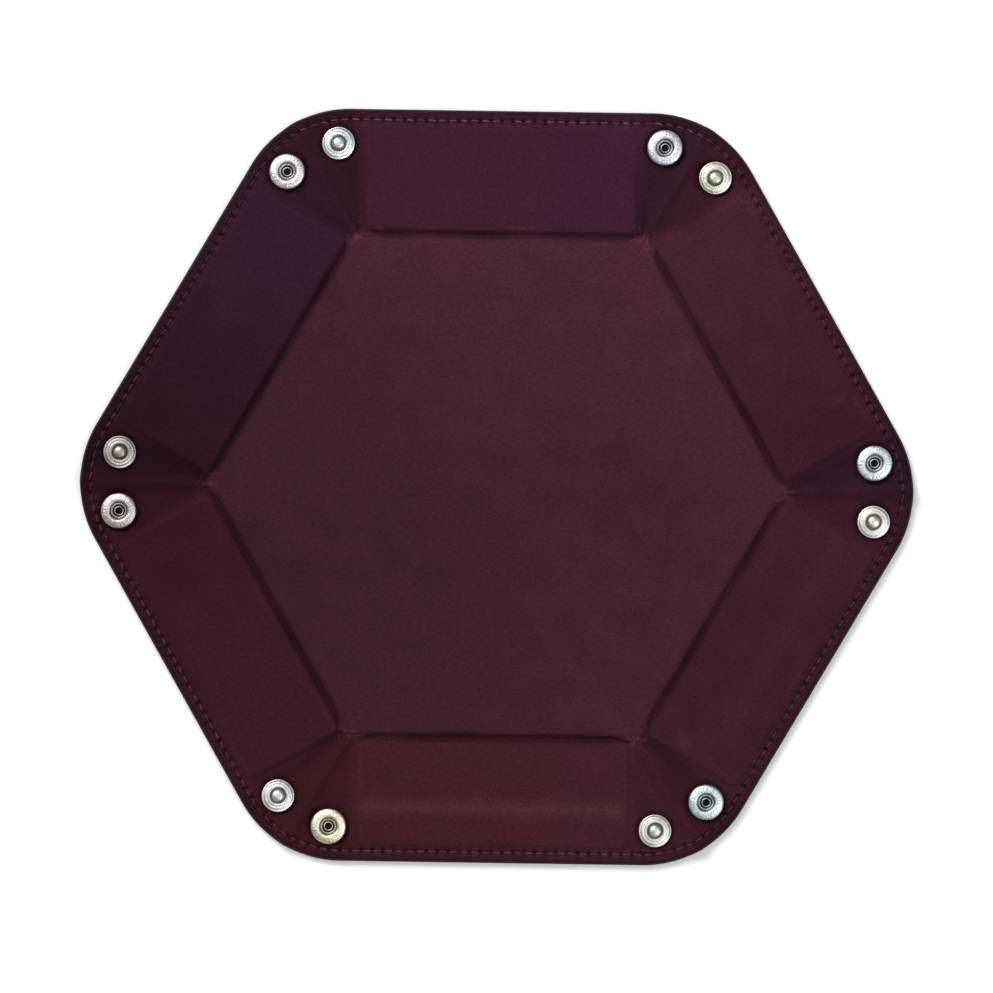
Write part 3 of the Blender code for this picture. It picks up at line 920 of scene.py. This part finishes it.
def make_wall(wall):
    body = f"wall_{wall + 1}"
    for skin, outer, spacing, build, slot in SKINS:
        plan, thinning = wall_grid(wall, outer, spacing)
        piece = build(f"{skin}_{body}", plan, thinning)
        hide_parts(f"{body}_{skin}")
        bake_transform(piece)


def bend_ear(piece):
    """Bakes a piece's placement into its mesh."""
    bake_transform(piece)


def make_ear(wall, half, side):
    wall_body = f"wall_{wall + 1}"
    body = f"{wall_body}_{half}_ear"
    for skin, outer, _, build, slot in SKINS:
        plan = ear_grid(wall, side, outer)
        piece = build(f"{skin}_{body}", plan, limit=meeting_height(plan) - MEETING_GAP)
        if skin == "velvet":
            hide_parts(f"{wall_body}_{half}_gusset")
        bend_ear(piece)


def make_tuck(corner):
    """The leatherette's tuck under a floor corner, which fills the hole there once the walls stand."""
    heading = corner * math.pi / 3
    tip = HALF_SIDE / math.sin(HALF_WEDGE) * np.array([math.cos(heading), math.sin(heading)])
    u, v = np.meshgrid(np.linspace(-1, 1, 15), np.linspace(-1, 1, 15))
    disc = np.stack([u * np.sqrt(1 - v * v / 2), v * np.sqrt(1 - u * u / 2)], -1)
    plan = tip + TUCK_RADIUS * disc
    high = np.minimum(velvet_top(plan), meeting_height(plan) - MEETING_GAP) - TUCK_COVER
    low = leather_bottom(plan) + TUCK_COVER
    middle, half = (high + low) / 2, (high - low).clip(0) / 2
    half = half * np.sqrt((1 - (disc ** 2).sum(-1)).clip(0.02, 1))
    piece = slab(f"leather_tuck_{corner + 1}", plan, middle + half, middle - half, leather)
    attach(piece, "floor")


# ---- Sewing ----
STITCH_STEPS = 8
THREAD_SIDES = 8


def stitch(wall, along, surface, outward, lean):
    """Vertices and faces of one stitch, from needle hole to needle hole."""
    vertices, faces = [], []
    half = PITCH / 2 - HOLE_RADIUS
    for step in range(STITCH_STEPS + 1):
        share = step / STITCH_STEPS
        x, y, heading = seam_point(along + half * (2 * share - 1))
        sideways = lean * (share - 0.5)
        x, y = x + sideways * math.cos(heading), y + sideways * math.sin(heading)
        centre = to_plan(wall, x, y)
        rise = math.sin(math.pi * share) ** 0.6
        height = float(surface(centre[None])[0]) + outward * (0.26 * MM * rise - 0.50 * MM * (1 - rise))
        across = to_plan(wall, x + math.cos(heading), y + math.sin(heading)) - centre
        radius = THREAD_RADIUS * (0.82 + 0.18 * rise)
        for corner in range(THREAD_SIDES):
            angle = 2 * math.pi * corner / THREAD_SIDES
            spot = centre + across * radius * math.cos(angle)
            vertices.append((spot[0], spot[1], height + radius * 0.85 * math.sin(angle)))
    for step in range(STITCH_STEPS):
        for corner in range(THREAD_SIDES):
            a = step * THREAD_SIDES + corner
            b = step * THREAD_SIDES + (corner + 1) % THREAD_SIDES
            faces.append((a, b, b + THREAD_SIDES, a + THREAD_SIDES))
    last = STITCH_STEPS * THREAD_SIDES
    faces.append(tuple(range(THREAD_SIDES))[::-1])
    faces.append(tuple(range(last, last + THREAD_SIDES)))
    return vertices, faces


def smooth_skin(surface, points):
    """A skin's height under the seam, without its needle holes and seam groove."""
    _, x, y = to_local(points)
    if surface is velvet_top:
        sign, hole, groove = -1, HOLE_DEPTH, GROOVE_DEPTH
    else:
        sign, hole, groove = 1, HOLE_DEPTH_UNDER, GROOVE_DEPTH_UNDER
    plain = surface(points) - sign * hole * needle_hole(x, y)
    return plain - sign * 0.35 * groove * bell(rim_distance(x, y) - STITCH_INSET, 0.75 * MM)


def sew(name, wall, places, seed):
    draw = np.random.default_rng(seed)
    vertices, faces = [], []
    for along in places:
        for surface, outward in ((velvet_top, 1), (leather_bottom, -1)):
            lean = draw.normal(0.24, 0.16) * MM
            more, around = stitch(wall, along, lambda p, s=surface: smooth_skin(s, p), outward, lean)
            shift = len(vertices)
            vertices += more
            faces += [tuple(corner + shift for corner in face) for face in around]
    mesh = mesh_from(name, np.array(vertices), faces, sharp_angle=70)
    mesh.flip_normals()
    paint_plan(mesh, thread_colour)
    return link(name, mesh, thread)


def make_seams(wall):
    body = f"wall_{wall + 1}"
    places = [(number + 0.5) * PITCH - STITCH_SIDE / 2 for number in range(STITCHES_PER_SIDE)]
    groups = (
        ("", [place for place in places if abs(place) < EAR_LINE]),
        ("stud", [place for place in places if place >= EAR_LINE]),
        ("socket", [place for place in places if place <= -EAR_LINE]),
    )
    for number, (half, chosen) in enumerate(groups):
        ending = f"_{half}_ear" if half else ""
        piece = sew(f"thread_{body}{ending}", wall, chosen, seed=100 + wall * 3 + number)
        if half:
            bend_ear(piece)
        else:
            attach(piece, body)


# ---- Press studs ----
PROFILE_STEP = 0.19 * MM        # longest stretch of a press stud's upper face in section


def resampled(points, spacing):
    """Adds points along a profile so that no stretch of it is longer than the spacing."""
    dense = [points[0]]
    for first, second in zip(points, points[1:]):
        count = max(1, math.ceil(math.hypot(second[0] - first[0], second[1] - first[1]) / spacing))
        for step in range(1, count + 1):
            share = step / count
            dense.append(tuple(a + (b - a) * share for a, b in zip(first, second)))
    return dense


def graded(points, low, high):
    """Adds darkening for dirt and painted shade to (radius, height) points: none outside radius high, most
    inside low.
    """
    return [(r, z, 0.88 * float(smooth((high - r) / (high - low)))) for r, z in points]


def near(radius, height, offsets):
    """Profile points, given in millimetres outward and upward from a radius and a height."""
    return [(radius + out * MM, height + up * MM) for out, up in offsets]


def socket_profile(low, high, radius):
    """Ring-spring socket in section: seat, broad rounded ring, mouth, and the spring inside it."""
    seat = near(0, low, ((2.0, 0),)) + near(radius, low, ((-0.5, 0), (-0.18, 0.12), (-0.03, 0.40), (0, 0.80)))
    ring = near(radius, high, (
        (-0.05, -0.95), (-0.24, -0.62), (-0.58, -0.38), (-1.05, -0.20), (-1.60, -0.07), (-2.10, 0),
        (-2.55, -0.03)))
    mouth = near(0, high, ((3.34, -0.16), (3.08, -0.38), (2.92, -0.70)))
    spring = near(0, high, (
        (2.90, -0.95), (2.74, -1.06), (2.50, -0.98), (2.24, -1.00), (2.08, -1.14), (2.03, -1.36),
        (2.12, -1.55)))
    spring += near(0, low, ((2.10, 0.35), (2.0, 0.2)))
    # Painted shade: the mouth and the spring inside it are darkened, all but a brighter band on the spring.
    bright_low, bright_high = high - 1.2 * MM, high - 0.96 * MM
    outside = graded(resampled(seat + ring + mouth, PROFILE_STEP), 2.86 * MM, 3.2 * MM)
    return outside + [(r, z, 0.5 if bright_low <= z <= bright_high else 0.90) for r, z in spring]


def cap_profile(base, top, radius, bore, cap_low, cap_high, cap_radius):
    """Domed cap on the leather side, and its tubular shank with the end rolled over."""
    dome = [(cap_radius * math.sin(a), cap_high - (cap_high - cap_low) * math.cos(a) ** 0.8, 0.0)
            for a in np.radians(np.linspace(6, 74, 14))]
    lip = [(r, z, 0.0) for r, z in arc((cap_radius - 0.16 * MM, cap_high - 0.20 * MM), 0.17 * MM, -20, 85, 5)]
    tube = (radius - bore) / 2
    # Painted shade: the shank, its rolled end and the bore are darkened.
    roll = [(r, z, 0.35) for r, z in arc((bore + tube, top - tube), tube, 0, 180, 9)]
    inside = [(bore, top - 2 * tube, 0.95), (bore * 0.96, base, 0.985), (0.0, base - 0.05 * MM, 0.985)]
    return [(0.0, cap_low, 0.0)] + dome + lip + [(radius, cap_high, 0.8), (radius, base, 0.9)] + roll + inside


def stud_profile(low, high, radius):
    """Stud in section, from its seat round the beaded flange and up to the ball's crown."""
    flange = low + 0.45 * MM
    seat = near(0, low, ((0, 0.30), (1.30, 0.28), (1.30, 0)))
    seat += near(radius, low, ((-0.24, 0), (-0.05, 0.10), (0, 0.24)))
    beads = near(radius, flange, (
        (-0.06, -0.02), (-0.24, 0.09), (-0.46, 0.05), (-0.62, -0.10), (-0.80, -0.17), (-0.98, -0.08),
        (-1.20, 0.01), (-1.55, -0.02), (-1.75, -0.09), (-1.95, -0.02)))
    beads += near(0, flange, ((3.30, 0.03), (2.95, -0.04)))
    neck = near(0, flange, (
        (2.65, -0.20), (2.25, -0.27), (1.92, -0.20), (1.76, 0), (1.74, 0.25), (1.84, 0.48)))
    rise = 0.78 * MM
    ball = [(2.03 * MM * math.cos(a) ** 0.82, high - rise + rise * math.sin(a))
            for a in np.radians(np.linspace(-14, 90, 15))]
    ball[-1] = (0.0, high)
    # Painted shade: darkened round the ball's foot, in a groove among the beads and on the neck.
    rings = graded(resampled(seat + beads, PROFILE_STEP), 2.5 * MM, 3.3 * MM)
    rings = [(r, z, 0.38 if abs(r - radius + 0.80 * MM) < 0.16 * MM and z > low + 0.2 * MM else g)
             for r, z, g in rings]
    return rings + [(r, z, 0.80) for r, z in neck] + [(r, z, 0.30 * (r > 1.95 * MM)) for r, z in ball]


# Plating of the socket and the stud on walls 1 to 6: partly the nickel's own uneven yellowing and dulling,
# partly painted reflections; the stud on wall 3 is painted dark, as in poor light.
PLATING_AND_PAINTED_LIGHT = (
    ((0.58, 0.66, 0.66), (0.60, 0.60, 0.50)),
    ((0.60, 0.61, 0.64), (0.55, 0.61, 0.60)),
    ((0.64, 0.62, 0.62), (0.36, 0.32, 0.30)),
    ((0.52, 0.47, 0.46), (0.62, 0.60, 0.60)),
    ((0.72, 0.68, 0.50), (0.60, 0.60, 0.53)),
    ((0.54, 0.62, 0.64), (0.64, 0.62, 0.56)),
)


def make_snap(wall, half):
    wall_body = f"wall_{wall + 1}"
    body = f"{wall_body}_{half}_ear"
    under = f"{wall_body}_socket_cap" if half == "socket" else f"{wall_body}_stud_rivet"
    low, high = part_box(f"{wall_body}_{half}")
    cap_low, cap_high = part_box(under)
    place = ((low.x + high.x) / 2, (low.y + high.y) / 2)
    radius = (high.x - low.x) / 2
    cap_radius = (cap_high.x - cap_low.x) / 2
    # The metal's colour holds painted reflections and light.
    plating_and_light = PLATING_AND_PAINTED_LIGHT[wall][half == "stud"]
    dome_top = EAR_BOTTOM - 0.05 * MM
    seed = 10 * wall + (half == "stud")
    if half == "socket":
        profile = socket_profile(low.z, high.z, radius)
        stipple = (3.2 * MM, 5.9 * MM, 0.027 * MM, low.z + 1.0 * MM)
        shank = cap_profile(low.z, high.z - 1.15 * MM, 1.66 * MM, 1.22 * MM, cap_low.z, dome_top, cap_radius)
    else:
        profile = stud_profile(low.z, high.z, radius)
        stipple = (3.0 * MM, 5.1 * MM, 0.018 * MM, low.z + 0.2 * MM)
        base, top = low.z - 0.5 * MM, low.z + 0.2 * MM
        shank = cap_profile(base, top, 1.0 * MM, 0.6 * MM, cap_low.z, dome_top, cap_radius)
    upper = turned(f"snap_{half}_{wall + 1}", profile, plating_and_light, stipple, closed=half == "socket", seed=seed)
    lower = turned(f"snap_{half}_cap_{wall + 1}", shank, plating_and_light, seed=seed, segments=96)
    draw = np.random.default_rng(seed)
    tilt = np.radians(draw.uniform(-0.8, 0.8, 2))
    for piece, node in ((upper, f"{wall_body}_{half}"), (lower, under)):
        piece.location = (place[0], place[1], 0.0)
        piece.rotation_euler = (*tilt, draw.uniform(0, 2 * math.pi))
        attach(piece, body)
        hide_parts(node)


# ---- Stage ----
TABLE_REACH, TABLE_HEIGHT = 3.0, -0.2 * MM
CAMERA_HEIGHT = 1.6
VIEW_WIDTH = 0.3455         # width of the table that the picture takes in, at the tray's height
VIEW_ROLL = math.radians(0.86)
VIEW_CENTRE = (0.0, -0.0033)


def area_light(name, location, size, power, colour=(1.0, 1.0, 1.0)):
    data = bpy.data.lights.new(name, "AREA")
    data.shape = "RECTANGLE"
    data.size, data.size_y = size
    data.energy = power
    data.color = colour
    light = bpy.data.objects.new(name, data)
    light.location = location
    light.rotation_euler = (-Vector(location)).to_track_quat("-Z", "Y").to_euler()
    bpy.context.scene.collection.objects.link(light)


def make_stage():
    scene = bpy.context.scene
    scene.view_settings.view_transform = "Standard"
    table = bpy.data.meshes.new("table")
    corners = [(TABLE_REACH * x, TABLE_REACH * y, TABLE_HEIGHT)
               for x, y in ((-1, -1), (1, -1), (1, 1), (-1, 1))]
    table.from_pydata(corners, [], [(0, 1, 2, 3)])
    link("table", table, table_material())
    world = bpy.data.worlds.new("studio")
    world.use_nodes = True
    background = world.node_tree.nodes["Background"]
    background.inputs["Color"].default_value = (0.94, 0.97, 1.0, 1.0)
    background.inputs["Strength"].default_value = 0.34
    scene.world = world
    area_light("overhead", (0.0, 0.12, 2.2), (1.7, 1.7), 5.5)
    area_light("key", (-0.75, 0.95, 1.25), (0.9, 0.9), 27.0, (1.0, 0.985, 0.96))
    area_light("fill", (0.95, -0.55, 1.3), (1.1, 1.1), 12.0, (0.96, 0.98, 1.0))
    data = bpy.data.cameras.new("camera")
    data.lens = data.sensor_width * (CAMERA_HEIGHT - TOP) / VIEW_WIDTH
    camera = bpy.data.objects.new("camera", data)
    camera.location = (*VIEW_CENTRE, CAMERA_HEIGHT)
    camera.rotation_euler = (0.0, 0.0, VIEW_ROLL)
    scene.collection.objects.link(camera)
    scene.camera = camera


make_stage()
make_floor()
for index in range(SIDES):
    make_wall(index)
    make_ear(index, "stud", 1)
    make_ear(index, "socket", -1)
    make_seams(index)
    make_snap(index, "socket")
    make_snap(index, "stud")
    make_tuck(index)
for name, node in frame["nodes"].items():
    if name.endswith("board"):
        node.data.materials.clear()
        node.data.materials.append(board)
